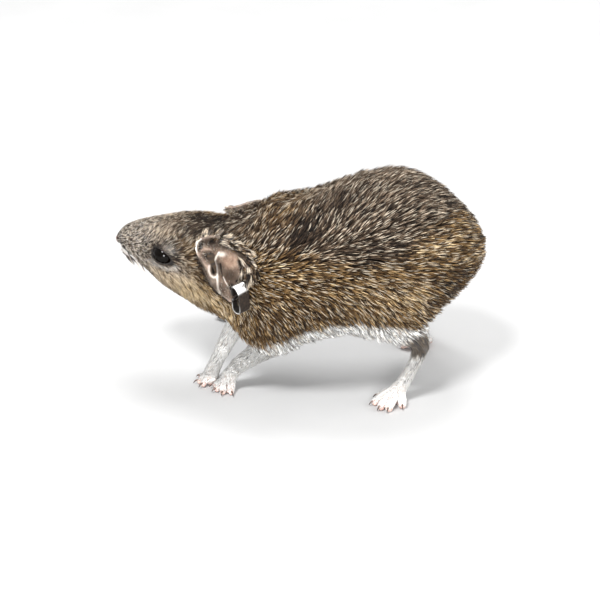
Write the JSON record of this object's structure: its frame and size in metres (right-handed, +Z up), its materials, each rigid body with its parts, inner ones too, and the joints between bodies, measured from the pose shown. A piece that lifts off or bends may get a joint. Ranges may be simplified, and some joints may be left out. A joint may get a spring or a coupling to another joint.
{
  "type": "field mouse",
  "caption": "Life-size field mouse standing on all fours with its head lowered and turned, agouti coat over a white belly, tail curled forward, plain metal ear band.",
  "frame": {"origin": "centre of the whole animal's bounding box, at the floor it stands on", "axes": "+X from the nose towards the rump, +Z up, -Y the animal's left side, the side whose ear carries the band"},
  "size_m": [0.0658, 0.0448, 0.0417],
  "materials": {
    "coat": "dense fur, grey-brown and golden agouti above, white below",
    "pale_coat": "short white hair over pink skin",
    "bare_skin": "thin bare skin with sparse down",
    "tail_skin": "finely ringed skin with short hairs, dark above and pale below",
    "eye": "wet, glossy, almost black",
    "band_metal": "plain folded strip, lightly worn"
  },
  "bodies": {
    "root": {"nose": "bare_skin", "head": "coat", "neck": "coat", "trunk": "coat", "foreleg_left": "pale_coat", "foreleg_right": "pale_coat", "hindleg_left": "coat", "hindleg_right": "coat", "forefoot_left": "pale_coat", "forefoot_right": "pale_coat", "hindfoot_left": "pale_coat", "hindfoot_right": "pale_coat", "tail_root": "tail_skin", "tail_middle": "tail_skin", "tail_end": "tail_skin", "eye_left": "eye", "eye_right": "eye", "ear_left": "bare_skin", "ear_right": "bare_skin", "ear_band": "band_metal"}
  },
  "joints": []
}
